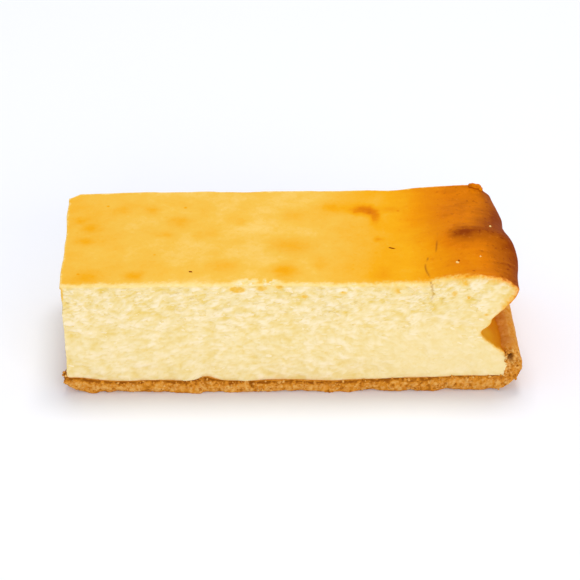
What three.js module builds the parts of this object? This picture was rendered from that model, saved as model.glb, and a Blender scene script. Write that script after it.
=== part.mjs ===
// A bar-shaped slice of baked cheesecake, in millimetres, +Z up.
// The bar lies along X. Its left end, front and back are knife cuts, and its right end is the side that
// was baked against the tin. A thin shortcrust base carries a tall baked filling. On the right the base
// turns up into a rim, and the filling pinches in above the rim and then swells out over it in a puffed
// shoulder. The origin is the middle of the bar's outer box, on the surface that the base stands on.
import * as THREE from "three";

// Driving dimensions
const barLength = 120; // from the cut end to the outside of the rim
const barDepth = 48.6; // from the front cut to the back cut
const fillingTop = 33.1; // height of the flat top above the table
const puffRise = 2.3; // how far the puffed shoulder stands above the flat top
const plateThickness = 3.7; // the base, where it is thinnest
const rimHeight = 12.9; // the base's rim above the table
const seatGap = 0.3; // clearance between the filling and the base under it
const rimGap = 0.4; // clearance between the filling and the rim beside it
const endSkew = 0.0202; // the long cuts aren't square to the ends: X lost for each Y

// Places along the bar, measured from its middle
const leftCutX = -barLength / 2;
const rimOuterX = barLength / 2;
const rimInnerX = rimOuterX - 4;
const crestX = rimOuterX - 13; // highest line of the puffed shoulder
const puffStartX = crestX - 16; // where the top begins to rise
const noseX = rimOuterX - 1.8; // furthest reach of the shoulder
const noseZ = 31.2;
const fillingLeftX = leftCutX + 0.6; // the base reaches a little past the filling at the cut end

// How finely the solids are divided
const plateColumns = 36;
const shoulderColumns = 10;
const filletColumns = 5;
const rimColumns = 4;
const fillingRows = 14;
const baseRows = 2;
const depthSlices = 15;

// Helpers

const smooth = (low, high, x) => THREE.MathUtils.smoothstep(x, low, high);
const mix = THREE.MathUtils.lerp;
const hill = (x, middle, halfWidth) => Math.exp(-(((x - middle) / halfWidth) ** 2));

// A repeatable number from 0 to 1 for each point of an integer lattice.
function lattice(i, j, seed) {
  const s = Math.sin(i * 127.1 + j * 311.7 + seed * 74.7) * 43758.5453;
  return s - Math.floor(s);
}

// Smooth noise from -1 to 1, one lattice step for each unit of a and b.
function noise(a, b, seed) {
  const i = Math.floor(a);
  const j = Math.floor(b);
  const s = smooth(0, 1, a - i);
  const t = smooth(0, 1, b - j);
  const low = mix(lattice(i, j, seed), lattice(i + 1, j, seed), s);
  const high = mix(lattice(i, j + 1, seed), lattice(i + 1, j + 1, seed), s);
  return 2 * mix(low, high, t) - 1;
}

// Crags of a knife-cut face: long low smears with shorter lumps on them.
function cutRelief(along, up, seed) {
  return 0.45 * noise(along / 14, up / 6, seed) + 0.35 * noise(along / 5.5, up / 3.4, seed + 1);
}

// A closed block whose surface is place(i, j, k): i runs along the bar, j up it and k from front to back.
function blockGeometry(place, columns, rows, slices) {
  const points = [];
  const index = new Map();
  const faces = [];
  const vertex = (i, j, k) => {
    const key = `${i},${j},${k}`;
    if (!index.has(key)) {
      index.set(key, points.length / 3);
      points.push(...place(i, j, k));
    }
    return index.get(key);
  };
  const patch = (at, across, down, flipped) => {
    for (let a = 0; a < across; a++) {
      for (let b = 0; b < down; b++) {
        const [p, q, r, s] = [at(a, b), at(a + 1, b), at(a + 1, b + 1), at(a, b + 1)];
        faces.push(...(flipped ? [p, r, q, p, s, r] : [p, q, r, p, r, s]));
      }
    }
  };
  patch((a, b) => vertex(a, b, 0), columns, rows, false);
  patch((a, b) => vertex(a, b, slices), columns, rows, true);
  patch((a, b) => vertex(a, rows, b), columns, slices, false);
  patch((a, b) => vertex(a, 0, b), columns, slices, true);
  patch((a, b) => vertex(columns, b, a), slices, rows, false);
  patch((a, b) => vertex(0, b, a), slices, rows, true);
  const geometry = new THREE.BufferGeometry();
  geometry.setAttribute("position", new THREE.Float32BufferAttribute(points, 3));
  geometry.setIndex(faces);
  geometry.computeVertexNormals();
  return geometry;
}

// Y of each slice, and the shift that the skewed ends give it.
const sliceY = (k) => mix(-barDepth / 2, barDepth / 2, k / depthSlices);
const skewed = (x, y) => x - endSkew * y;

// The base's upper face, which the filling sits on: thin along the bar, thicker at both ends, and with
// one heap of dough near the front cut.
function seatZ(x, y) {
  const ends = 1.2 * smooth(10, 48, x) + 1.1 * (1 - smooth(-59, -48, x));
  const heap = 1.3 * hill(x, -22.4, 2.9) * hill(y, -barDepth / 2, 9);
  return plateThickness + ends + heap + 0.22 * noise(x / 9, y / 9, 5);
}

// The rounded corner at the back of the cut end, as a share of the depth lost there.
function cornerPull(x, y) {
  const nearEnd = 1 - smooth(leftCutX, leftCutX + 4, x);
  return 3 * nearEnd * smooth(barDepth / 2 - 6, barDepth / 2, y);
}

// Columns shared by both solids, so that the seat and what sits on it have the same facets.
const plateX = (i) => mix(fillingLeftX, puffStartX + 4, i / plateColumns);
const shoulderX = (n) => mix(plateX(plateColumns), rimInnerX - rimGap, n / shoulderColumns);
const seatX = (i) => (i <= plateColumns ? plateX(i) : shoulderX(i - plateColumns));
const seatColumns = plateColumns + shoulderColumns;

// The filling

// Its top line: flat, then up to the crest, then down a quarter ellipse to the nose.
function topPoint(i) {
  if (i <= plateColumns) {
    const x = plateX(i);
    return [x, fillingTop + puffRise * smooth(puffStartX, crestX, x)];
  }
  const share = (i - plateColumns) / shoulderColumns;
  const startX = plateX(plateColumns);
  const flatShare = 0.35;
  if (share <= flatShare) {
    const x = mix(startX, crestX, share / flatShare);
    return [x, fillingTop + puffRise * smooth(puffStartX, crestX, x)];
  }
  const turn = (((share - flatShare) / (1 - flatShare)) * Math.PI) / 2;
  const crestZ = fillingTop + puffRise;
  return [crestX + (noseX - crestX) * Math.sin(turn), noseZ + (crestZ - noseZ) * Math.cos(turn)];
}

// Its baked side, from the rim's top to the nose: a flare, the pinch, then the overhang.
const bakedSide = new THREE.SplineCurve([
  new THREE.Vector2(rimInnerX - rimGap, 11.2),
  new THREE.Vector2(55.2, 12.2),
  new THREE.Vector2(53.3, 13.6),
  new THREE.Vector2(50.7, 15.6),
  new THREE.Vector2(49.2, 17.6),
  new THREE.Vector2(50.1, 19.9),
  new THREE.Vector2(51.9, 22.5),
  new THREE.Vector2(53.8, 25.0),
  new THREE.Vector2(56.0, 27.2),
  new THREE.Vector2(57.4, 29.2),
  new THREE.Vector2(noseX, noseZ),
]);
const seatedRows = 3; // rows of the filling that stand inside the rim

function sidePoint(j, bottomZ) {
  if (j <= seatedRows) return [rimInnerX - rimGap, mix(bottomZ, 11.2, j / seatedRows)];
  const p = bakedSide.getPoint((j - seatedRows) / (fillingRows - seatedRows));
  return [p.x, p.y];
}

// How far the shoulder is shifted along the bar. In front of the fold it swells further out. Towards the
// back cut its crest moves out and its nose in, so that it drops more steeply there.
function shoulderShift(x, y, z) {
  const crestShift = 3.5 * smooth(0, barDepth / 2, y);
  const swell = 1.4 * hill(y, -9, 8.5);
  const noseShift = swell - 0.4 * smooth(-4, 4, y) - 2.6 * smooth(10, 30, y);
  const overCrest = crestShift * smooth(crestX - 14, crestX, x);
  const overNose = (noseShift - crestShift) * smooth(crestX - 2, noseX, x);
  return (overCrest + overNose) * smooth(15, 29, z);
}

// The top stands a little higher along the back cut, where the shoulder is a little lower instead.
function backLift(x, y) {
  return smooth(0, barDepth / 2, y) * (0.3 + 0.45 * hill(x, 30, 14) - 0.9 * smooth(33, 46, x));
}

// The cut end is slightly hollowed at a third of its height.
const endLean = (x, v) => 0.4 * hill(v, 0.35, 0.25) * hill(x, fillingLeftX, 6);

function fillingPoint(i, j, k) {
  const y = sliceY(k);
  const u = i / seatColumns;
  const v = j / fillingRows;
  const bottomX = seatX(i);
  const bottomZ = seatZ(bottomX, y) + seatGap;
  const [topX, topZ] = topPoint(i);
  const leftZ = mix(seatZ(fillingLeftX, y) + seatGap, fillingTop, v);
  const cornerZ = seatZ(seatX(seatColumns), y) + seatGap;
  const [sideX, sideZ] = sidePoint(j, cornerZ);
  // A Coons patch: the four edge lines blended, less the blend of their corners.
  const cornersX = mix(fillingLeftX, mix(rimInnerX - rimGap, noseX, v), u);
  const leftBottomZ = seatZ(fillingLeftX, y) + seatGap;
  const cornersZ = mix(mix(leftBottomZ, fillingTop, v), mix(cornerZ, noseZ, v), u);
  let x = mix(fillingLeftX, sideX, u) + mix(bottomX, topX, v) - cornersX;
  let z = mix(leftZ, sideZ, u) + mix(bottomZ, topZ, v) - cornersZ;
  let depth = y;
  const clearOfSeat = smooth(0, 0.25, v);
  if (k === 0) depth -= cutRelief(x, z, 11);
  if (k === depthSlices) depth += cutRelief(x, z, 21);
  if (i === 0) x -= 0.6 * cutRelief(y, z, 31) * clearOfSeat;
  if (j === fillingRows) {
    const onBakedTop = smooth(20, crestX, x);
    z += 0.3 * noise(x / 16, y / 12, 41) + 0.5 * onBakedTop * noise(x / 7, y / 9, 43);
    z += 0.5 * onBakedTop * hill(y, -4, 5); // the fold across the shoulder
  }
  if (i === seatColumns) x += 0.5 * clearOfSeat * noise(y / 6, z / 7, 51);
  x += shoulderShift(x, y, z) + endLean(x, v);
  z += backLift(x, y) * v;
  if (k > 0) depth -= cornerPull(x, y);
  return [skewed(x, y), depth, z];
}

// The base

// Its outside runs flat, sweeps up in a fillet and stands up as the rim; its inside is the seat and the
// rim's inner wall. Both have the same number of points.
const rimOutside = new THREE.SplineCurve([
  new THREE.Vector2(50.6, 0),
  new THREE.Vector2(54.8, 0.9),
  new THREE.Vector2(57.4, 2.6),
  new THREE.Vector2(59.5, 4.7),
  new THREE.Vector2(rimOuterX + 0.4, 7.3),
  new THREE.Vector2(60.1, 9.8),
  new THREE.Vector2(59.2, rimHeight - 0.7),
]);
const baseColumns = seatColumns + filletColumns + rimColumns;
const curlLength = 8; // how much of the base's underside curls up at the cut end
const curlRise = 2.6;

function insidePoint(i, y) {
  if (i === 0) return [leftCutX, seatZ(leftCutX, y)];
  if (i < seatColumns) return [seatX(i), seatZ(seatX(i), y)];
  const foot = seatZ(rimInnerX, y);
  const share = (i - seatColumns) / (filletColumns + rimColumns);
  const wall = 0.75; // share of these columns that climb the wall, before the rounded crest
  if (share <= wall) return [rimInnerX, mix(foot, rimHeight - 1.6, share / wall)];
  const turn = (((share - wall) / (1 - wall)) * Math.PI) / 2;
  return [rimInnerX + 1.7 * (1 - Math.cos(turn)), rimHeight - 1.6 * (1 - Math.sin(turn))];
}

function outsidePoint(i) {
  if (i < seatColumns - 3) {
    const x = i === 0 ? leftCutX : seatX(i);
    return [x, curlRise * Math.max(0, 1 - (x - leftCutX) / curlLength) ** 2];
  }
  const share = (i - (seatColumns - 3)) / (baseColumns - (seatColumns - 3));
  const p = rimOutside.getPoint(share);
  return [p.x, p.y];
}

function basePoint(i, j, k) {
  const y = sliceY(k);
  const v = j / baseRows;
  const [insideX, insideZ] = insidePoint(i, y);
  const [outsideX, outsideZ] = outsidePoint(i);
  let x = mix(outsideX, insideX, v);
  let z = mix(outsideZ, insideZ, v);
  let depth = y;
  const onCut = k === 0 || k === depthSlices;
  if (onCut) {
    const outward = k === 0 ? -1 : 1;
    // The dough was squeezed out a little under the knife, most along the middle of the lower edge.
    const squeezed = 0.4 * hill(x, -5, 38) * (1 - 0.6 * v);
    depth += outward * (0.4 * noise(x / 3.1, z / 1.9, 61 + k) + 0.2 + squeezed);
    // Crumbs have broken away from the lower edge in places.
    const chip = j === 0 ? Math.max(0, noise(x / 6, 0.5, 71 + k)) : 0;
    depth -= outward * 0.8 * chip;
  }
  // The base reaches past the filling at the front of the cut end, and lies flush with it further back.
  if (i === 0) x += 0.6 * smooth(-barDepth / 2, -barDepth / 2 + 5, y) - 0.4 * noise(y / 3.3, z / 2, 81);
  if (i > seatColumns + 1 && j === 0) x += 0.3 * noise(y / 5, z / 3, 83);
  if (i === baseColumns || (i === baseColumns - 1 && j === baseRows)) z += 0.5 * noise(y / 5.5, 0.5, 91);
  if (k > 0) depth -= cornerPull(x, y);
  return [skewed(x, y), depth, z];
}

// The two pieces, and the bar's outer box set on the origin

function solid(name, geometry, color, roughness) {
  const mesh = new THREE.Mesh(geometry, new THREE.MeshStandardMaterial({ color, roughness, metalness: 0 }));
  mesh.name = name;
  return mesh;
}

const bar = new THREE.Group();
bar.add(
  solid("shortcrust_base", blockGeometry(basePoint, baseColumns, baseRows, depthSlices), 0xd2913c, 0.85),
  solid("baked_filling", blockGeometry(fillingPoint, seatColumns, fillingRows, depthSlices), 0xf7dd98, 0.6),
);
const outerBox = new THREE.Box3().setFromObject(bar);
const middle = outerBox.getCenter(new THREE.Vector3());
bar.position.set(-middle.x, -middle.y, -outerBox.min.z);

export default bar;
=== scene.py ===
"""A bar-shaped slice of baked cheesecake: set curd under a golden skin, on a crumbly shortcrust base.

The bar lies along X. Its left end, front and back are knife cuts, and its right end is the side that was
baked against the tin. Lengths in the shape functions are millimetres, and a mesh gets metres.
"""
import math

import bpy
import numpy as np
from bpy.props import FloatProperty, FloatVectorProperty, IntProperty, PointerProperty
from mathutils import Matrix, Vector


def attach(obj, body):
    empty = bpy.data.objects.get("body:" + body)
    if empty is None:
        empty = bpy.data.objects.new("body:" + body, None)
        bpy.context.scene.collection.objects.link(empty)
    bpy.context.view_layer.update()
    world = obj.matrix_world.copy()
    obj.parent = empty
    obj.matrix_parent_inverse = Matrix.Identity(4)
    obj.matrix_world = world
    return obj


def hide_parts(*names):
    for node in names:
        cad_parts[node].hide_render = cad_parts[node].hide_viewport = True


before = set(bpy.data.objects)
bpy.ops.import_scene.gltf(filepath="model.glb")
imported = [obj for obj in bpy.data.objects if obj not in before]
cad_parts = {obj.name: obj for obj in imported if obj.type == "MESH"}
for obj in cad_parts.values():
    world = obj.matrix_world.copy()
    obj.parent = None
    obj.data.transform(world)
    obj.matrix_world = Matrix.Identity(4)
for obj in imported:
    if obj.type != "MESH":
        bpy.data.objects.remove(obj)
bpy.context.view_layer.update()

bl_info = {
    "name": "Baked cheesecake bar",
    "version": (1, 0, 0),
    "blender": (4, 5, 0),
    "location": "View3D > Sidebar > Cheesecake",
    "description": "Makes a slice of baked cheesecake with its skin, curd, shortcrust base and crumbs",
    "category": "Add Mesh",
}

MM = 0.001

# Driving dimensions of the bar, in millimetres, as in the packed solids
BAR_LENGTH = 120.0
BAR_DEPTH = 48.6
FILLING_TOP = 33.1
PUFF_RISE = 2.3
PLATE_THICKNESS = 3.7
RIM_HEIGHT = 12.9
END_SKEW = 0.0202  # the long cuts aren't square to the ends: X lost for each Y

# Places in the bar, measured from its middle
FRONT_Y = -BAR_DEPTH / 2
BACK_Y = BAR_DEPTH / 2
LEFT_CUT_X = -BAR_LENGTH / 2
RIM_OUTER_X = BAR_LENGTH / 2
RIM_INNER_X = RIM_OUTER_X - 4
CREST_X = RIM_OUTER_X - 13
PUFF_START_X = CREST_X - 16
NOSE_X = RIM_OUTER_X - 1.8
NOSE_Z = 31.2
FILLING_LEFT_X = LEFT_CUT_X + 0.6
RIM_TOUCH_Z = 11.2  # up to here the filling stands against the rim
FILLING_FOOT_X = RIM_INNER_X - 0.4  # where the filling leaves the rim's inner wall
CURL_LENGTH = 8.0  # how much of the base's underside curls up at the cut end
CURL_RISE = 2.6

# Where the bar's own middle lies in the frame, whose origin is the middle of the solids' outer box
MIDDLE = np.array([-0.324, -0.055, 0.0])

# The solids' columns of points: up to the shoulder, up to the rim, and in all. The shares follow them.
PLATE_STEPS = 36
SEAT_STEPS = 46
BASE_STEPS = 55

# Random seeds of the loose bits
FLAKE_SEED = 511
CRUMB_SEED = 521

BODY = "root"
FILLING_NODE = "baked_filling"
BASE_NODE = "shortcrust_base"


# Small functions for whole arrays

def smooth(low, high, x):
    """0 below low, 1 above high, and 3t squared less 2t cubed between, t being the share of the way."""
    t = np.clip((x - low) / (high - low), 0.0, 1.0)
    return t * t * (3.0 - 2.0 * t)


def mix(a, b, t):
    """The point that lies the share t of the way from a to b."""
    return a + (b - a) * t


def hill(x, middle, half_width):
    """A bell: e to the minus square of the distance from the middle, counted in half widths."""
    return np.exp(-(((x - middle) / half_width) ** 2))


def lattice(i, j, seed, k=0.0):
    """A repeatable number from 0 to 1 for each point of an integer lattice: the fraction of a large sine."""
    s = np.sin(i * 127.1 + j * 311.7 + k * 269.5 + seed * 74.7) * 43758.5453
    return s - np.floor(s)


def noise(a, b, seed):
    """Smooth noise from -1 to 1: the four lattice numbers round (a, b), blended by smooth shares."""
    i = np.floor(a)
    j = np.floor(b)
    s = smooth(0.0, 1.0, a - i)
    t = smooth(0.0, 1.0, b - j)
    low = mix(lattice(i, j, seed), lattice(i + 1, j, seed), s)
    high = mix(lattice(i, j + 1, seed), lattice(i + 1, j + 1, seed), s)
    return 2.0 * mix(low, high, t) - 1.0


def grain(points, size, seed):
    """Gradient noise from about -1 to 1 in space, one lattice step for each size.

    Each of the eight lattice corners round a point holds a random direction, and gives the dot product of
    that direction with the way from the corner to the point. The eight are blended by smooth shares.
    """
    place = points / np.asarray(size, float)
    corner = np.floor(place)
    part = place - corner
    share = part * part * part * (part * (part * 6.0 - 15.0) + 10.0)
    total = np.zeros(len(points))
    for step in np.ndindex(2, 2, 2):
        i, j, k = (corner + step).T
        turn = 2.0 * np.pi * lattice(i, j, seed, k)
        lift = 2.0 * lattice(i, j, seed + 0.5, k) - 1.0
        flat = np.sqrt(1.0 - lift * lift)
        way = part - step
        dot = flat * (np.cos(turn) * way[:, 0] + np.sin(turn) * way[:, 1]) + lift * way[:, 2]
        total += dot * np.prod(np.where(step, share, 1.0 - share), axis=1)
    return 1.6 * total


def cells(points, size, seed):
    """Lumps in space: each lattice box holds one random centre.

    Gives the distances to the nearest and the second nearest centre, in box sizes, and a random number
    from 0 to 1 that belongs to the nearest one.
    """
    place = points / np.asarray(size, float)
    box = np.floor(place)
    nearest = np.full(len(points), 9.0)
    second = np.full(len(points), 9.0)
    tone = np.zeros(len(points))
    for step in np.ndindex(3, 3, 3):
        i, j, k = (box + step - 1.0).T
        centre = np.stack([lattice(i, j, seed + share, k) for share in (0.0, 0.3, 0.6)], axis=1)
        gap = np.linalg.norm(box + step - 1.0 + centre - place, axis=1)
        closer = gap < nearest
        second = np.where(closer, nearest, np.minimum(second, gap))
        tone = np.where(closer, lattice(i, j, seed + 0.9, k), tone)
        nearest = np.where(closer, gap, nearest)
    return nearest, second, tone


def curve(knots, t):
    """Points of a smooth curve through the knots, t from 0 to 1: a Catmull-Rom cubic between each two."""
    knots = np.asarray(knots, float)
    last = len(knots) - 1
    place = np.clip(t, 0.0, 1.0) * last
    start = np.minimum(place.astype(int), last - 1)
    w = (place - start)[:, None]
    before, here = knots[np.maximum(start - 1, 0)], knots[start]
    there, after = knots[start + 1], knots[np.minimum(start + 2, last)]
    leave, arrive = (there - before) / 2.0, (after - here) / 2.0
    cubic = (2.0 * here - 2.0 * there + leave + arrive) * w**3
    square = (-3.0 * here + 3.0 * there - 2.0 * leave - arrive) * w**2
    return cubic + square + leave * w + here


def spread(count, density):
    """count + 1 places from 0 to 1, closer together where density(place) is high.

    The places are where the running sum of the density passes equal shares of its total.
    """
    fine = np.linspace(0.0, 1.0, 2001)
    weight = density((fine[1:] + fine[:-1]) / 2.0)
    total = np.concatenate([[0.0], np.cumsum(weight)])
    return np.interp(np.linspace(0.0, 1.0, count + 1), total / total[-1], fine)


# Meshes

def block(columns, rows, slices):
    """The places (i, j, k) on the six sides of a block, and the four-cornered faces that close it.

    i runs along the bar, j up it and k from front to back. Each side is a grid of two of them, and the
    sides share the places on their edges, so the block has no seam.
    """
    on_side = np.ones((columns + 1, rows + 1, slices + 1), bool)
    on_side[1:-1, 1:-1, 1:-1] = False
    number = np.full(on_side.shape, -1)
    number[on_side] = np.arange(on_side.sum())
    sides = [
        (number[:, :, 0], False),
        (number[:, :, -1], True),
        (number[:, -1, :], False),
        (number[:, 0, :], True),
        (number[-1].T, False),
        (number[0].T, True),
    ]
    faces = []
    for grid, flipped in sides:
        p, q, r, s = grid[:-1, :-1], grid[1:, :-1], grid[1:, 1:], grid[:-1, 1:]
        corners = (p, s, r, q) if flipped else (p, q, r, s)
        faces.append(np.stack(corners, axis=-1).reshape(-1, 4))
    return np.argwhere(on_side), np.concatenate(faces)


def outward(points, faces):
    """Unit normals at the points: the sum of the normals of the faces that meet there."""
    corners = points[faces]
    face_normal = np.cross(corners[:, 2] - corners[:, 0], corners[:, 3] - corners[:, 1])
    total = np.zeros_like(points)
    for axis in range(3):
        weights = np.repeat(face_normal[:, axis], 4)
        total[:, axis] = np.bincount(faces.ravel(), weights, minlength=len(points))
    return total / np.maximum(np.linalg.norm(total, axis=1), 1e-12)[:, None]


def make_piece(name, points, faces, material, marks, replaced=None, faceted=False):
    """Puts points in millimetres and lists of faces into a piece of the object.

    Each mark becomes an attribute with a number per point. A faceted piece is shaded flat.
    """
    mesh = bpy.data.meshes.new(name)
    mesh.from_pydata((points + MIDDLE) * MM, [], [face for group in faces for face in group.tolist()])
    mesh.polygons.foreach_set("use_smooth", np.full(len(mesh.polygons), not faceted))
    for mark, values in marks.items():
        attribute = mesh.attributes.new(mark, "FLOAT", "POINT")
        attribute.data.foreach_set("value", np.asarray(values, np.float32))
    mesh.materials.append(material)
    mesh.update()
    piece = bpy.data.objects.new(name, mesh)
    bpy.context.scene.collection.objects.link(piece)
    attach(piece, BODY)
    if replaced:
        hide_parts(replaced)


# Materials

def linear(hex_colour):
    """The linear RGBA of an sRGB hex colour such as #FCC95A."""
    parts = [int(hex_colour[n:n + 2], 16) / 255.0 for n in (1, 3, 5)]
    return tuple(c / 12.92 if c <= 0.04045 else ((c + 0.055) / 1.055) ** 2.4 for c in parts) + (1.0,)


def colour_property(name, hex_colour, description):
    """A colour that the user may change, with its sRGB hex default."""
    return FloatVectorProperty(
        name=name, description=description, default=linear(hex_colour),
        subtype="COLOR", size=4, min=0.0, max=1.0,
    )


def length_property(name, metres, description):
    """A length that the user may change, stored in metres."""
    return FloatProperty(
        name=name, description=description, default=metres, subtype="DISTANCE", unit="LENGTH", min=0.0,
    )


def add_node(tree, kind, settings=None, inputs=None, stops=None):
    """Adds one node with its settings, its inputs and, on a colour ramp, its (place, colour) stops.

    An input goes by its name, or by its number where several share a name: on a mix of colours 0 is the
    share and 6 and 7 are the colours, and on a mix of numbers 2 and 3 are the numbers.
    """
    node = tree.nodes.new(kind)
    for key, value in (settings or {}).items():
        setattr(node, key, value)
    for socket, value in (inputs or {}).items():
        if isinstance(value, bpy.types.NodeSocket):
            tree.links.new(value, node.inputs[socket])
        else:
            node.inputs[socket].default_value = value
    if stops:
        elements = node.color_ramp.elements
        for place, colour in stops[len(elements):]:
            elements.new(place)
        for element, (place, colour) in zip(elements, stops):
            element.position = place
            element.color = tuple(colour)
    return node


def new_material(name):
    """An empty node material and its tree, with the place on the object as a socket."""
    material = bpy.data.materials.new(name)
    material.use_nodes = True
    tree = material.node_tree
    tree.nodes.clear()
    place = add_node(tree, "ShaderNodeTexCoord").outputs["Object"]
    return material, tree, place


def per_mm(size):
    """The scale of a texture on Object coordinates, in metres, whose features are size millimetres."""
    return 1.0 / (size * MM)


# The filling's shape

PLATE_SHARE = PLATE_STEPS / SEAT_STEPS  # share of the filling's columns that stand left of the shoulder
SHOULDER_START_X = PUFF_START_X + 4
CREST_SHARE = 0.35  # share of the shoulder's columns before the crest
WALL_SHARE = 3 / 14  # share of the filling's rows that stand inside the rim
BAKED_SIDE = [
    (FILLING_FOOT_X, RIM_TOUCH_Z),
    (55.2, 12.2),
    (53.3, 13.6),
    (50.7, 15.6),
    (49.2, 17.6),
    (50.1, 19.9),
    (51.9, 22.5),
    (53.8, 25.0),
    (56.0, 27.2),
    (57.4, 29.2),
    (NOSE_X, NOSE_Z),
]


def seat_z(x, y):
    """Height of the base's upper face: thin along the bar, thicker at both ends, one heap of dough."""
    ends = 1.2 * smooth(10, 48, x) + 1.1 * (1 - smooth(-59, -48, x))
    heap = 1.3 * hill(x, -22.4, 2.9) * hill(y, FRONT_Y, 9)
    return PLATE_THICKNESS + ends + heap + 0.22 * noise(x / 9, y / 9, 5)


def corner_pull(x, y):
    """Depth lost round the vertical corner at the back of the cut end."""
    near_end = 1 - smooth(LEFT_CUT_X, LEFT_CUT_X + 4, x)
    return 3 * near_end * smooth(BACK_Y - 6, BACK_Y, y)


def cut_waves(along, up, seed):
    """The knife's long low waves on a cut face, with shorter lumps on them."""
    return 0.45 * noise(along / 14, up / 6, seed) + 0.35 * noise(along / 5.5, up / 3.4, seed + 1)


def top_line(u):
    """(x, z) along the filling's top edge: flat, up to the crest, then a quarter ellipse to the nose."""
    share = (u - PLATE_SHARE) / (1 - PLATE_SHARE)
    plate_x = mix(FILLING_LEFT_X, SHOULDER_START_X, u / PLATE_SHARE)
    shoulder_x = mix(SHOULDER_START_X, CREST_X, share / CREST_SHARE)
    x = np.where(share < 0, plate_x, shoulder_x)
    z = FILLING_TOP + PUFF_RISE * smooth(PUFF_START_X, CREST_X, x)
    turn = np.clip((share - CREST_SHARE) / (1 - CREST_SHARE), 0.0, 1.0) * np.pi / 2
    past_crest = share > CREST_SHARE
    nose_x = CREST_X + (NOSE_X - CREST_X) * np.sin(turn)
    nose_z = NOSE_Z + (FILLING_TOP + PUFF_RISE - NOSE_Z) * np.cos(turn)
    return np.where(past_crest, nose_x, x), np.where(past_crest, nose_z, z)


def side_line(v, corner_z):
    """(x, z) up the filling's baked end: the wall inside the rim, a flare, the pinch and the overhang."""
    wall_z = mix(corner_z, RIM_TOUCH_Z, np.clip(v / WALL_SHARE, 0.0, 1.0))
    baked = curve(BAKED_SIDE, (v - WALL_SHARE) / (1 - WALL_SHARE))
    on_wall = v <= WALL_SHARE
    return np.where(on_wall, RIM_INNER_X, baked[:, 0]), np.where(on_wall, wall_z, baked[:, 1])


def shoulder_shift(x, y, z):
    """How far the shoulder is shifted along the bar.

    In front of the fold it swells further out by a bell of y. Towards the back cut its crest moves out
    and its nose in, by smooth shares of y, so that it drops more steeply there.
    """
    crest_shift = 3.5 * smooth(0, BACK_Y, y)
    nose_shift = 1.4 * hill(y, -9, 8.5) - 0.4 * smooth(-4, 4, y) - 2.6 * smooth(10, 30, y)
    over_crest = crest_shift * smooth(CREST_X - 14, CREST_X, x)
    over_nose = (nose_shift - crest_shift) * smooth(CREST_X - 2, NOSE_X, x)
    return (over_crest + over_nose) * smooth(15, 29, z)


def back_lift(x, y):
    """How much higher the top stands towards the back cut, where the shoulder is a little lower instead."""
    towards_back = smooth(0, BACK_Y, y)
    return towards_back * (0.3 + 0.45 * hill(x, 30, 14) - 0.9 * smooth(33, 46, x))


def end_lean(x, v):
    """How far the cut end is hollowed at a third of its height: a bell of the height times one of x."""
    return 0.4 * hill(v, 0.35, 0.25) * hill(x, FILLING_LEFT_X, 6)


def filling_patch(u, v, y):
    """(x, z) inside the filling's outline at depth y, by a Coons patch.

    The bottom, top, left and right edge lines are blended, less the blend of their four corners.
    """
    sink = 0.1  # the curd beds into the base, so that no gap shows
    bottom_x = np.interp(u, [0.0, PLATE_SHARE, 1.0], [FILLING_LEFT_X, SHOULDER_START_X, RIM_INNER_X])
    bottom_z = seat_z(bottom_x, y) - sink
    left_bottom_z = seat_z(np.full_like(y, FILLING_LEFT_X), y) - sink
    corner_z = seat_z(np.full_like(y, RIM_INNER_X), y) - sink
    top_x, top_z = top_line(u)
    side_x, side_z = side_line(v, corner_z)
    corners_x = mix(FILLING_LEFT_X, mix(RIM_INNER_X, NOSE_X, v), u)
    corners_z = mix(mix(left_bottom_z, FILLING_TOP, v), mix(corner_z, NOSE_Z, v), u)
    x = mix(FILLING_LEFT_X, side_x, u) + mix(bottom_x, top_x, v) - corners_x
    z = mix(mix(left_bottom_z, FILLING_TOP, v), side_z, u) + mix(bottom_z, top_z, v) - corners_z
    return x, z


# The puffed shoulder's fold, the cracks in the skin and what the oven browned, as (x, y) on the top

FOLD_LINE = [(39.5, 1.2), (45.1, -0.6), (51.2, -1.4), (54.9, -2.4), (58.2, -4.6), (59.3, -8.1)]
CRACK_LINES = [
    [(39.2, -1.5), (38.6, -6.0), (37.9, -11.3)],
    [(35.8, -11.8), (34.9, -15.0), (35.0, -17.8), (35.6, -21.0), (35.6, -25.4)],
]
# Golden freckles: x, y, half length, half width, strength
FRECKLES = [
    (-53.5, 5.0, 2.2, 2.2, 0.5),
    (-54.3, -1.5, 2.6, 2.0, 0.5),
    (-56.0, 9.4, 1.6, 1.8, 0.4),
    (-44.8, 14.8, 2.4, 2.4, 0.4),
    (-36.4, 14.4, 1.8, 2.2, 0.4),
    (-29.4, 8.0, 3.4, 3.2, 0.55),
    (-24.4, 0.7, 1.8, 1.8, 0.35),
    (-32.7, 1.4, 1.6, 1.8, 0.35),
    (-20.6, 1.8, 2.4, 2.0, 0.3),
    (-53.3, -19.6, 3.0, 2.2, 0.35),
    (-40.8, -19.5, 2.2, 1.9, 0.75),
    (-12.6, 7.5, 2.4, 2.0, 0.35),
    (1.8, 11.4, 3.6, 3.4, 0.3),
    (11.8, 15.1, 4.2, 2.6, 0.45),
    (0.7, -4.5, 5.2, 5.0, 0.4),
    (-1.5, -17.1, 3.8, 3.0, 0.85),
    (7.5, -15.1, 2.0, 2.2, 0.4),
    (-17.4, -14.8, 3.8, 3.0, 0.4),
    (23.0, -18.5, 3.0, 4.0, 0.4),
]
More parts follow.
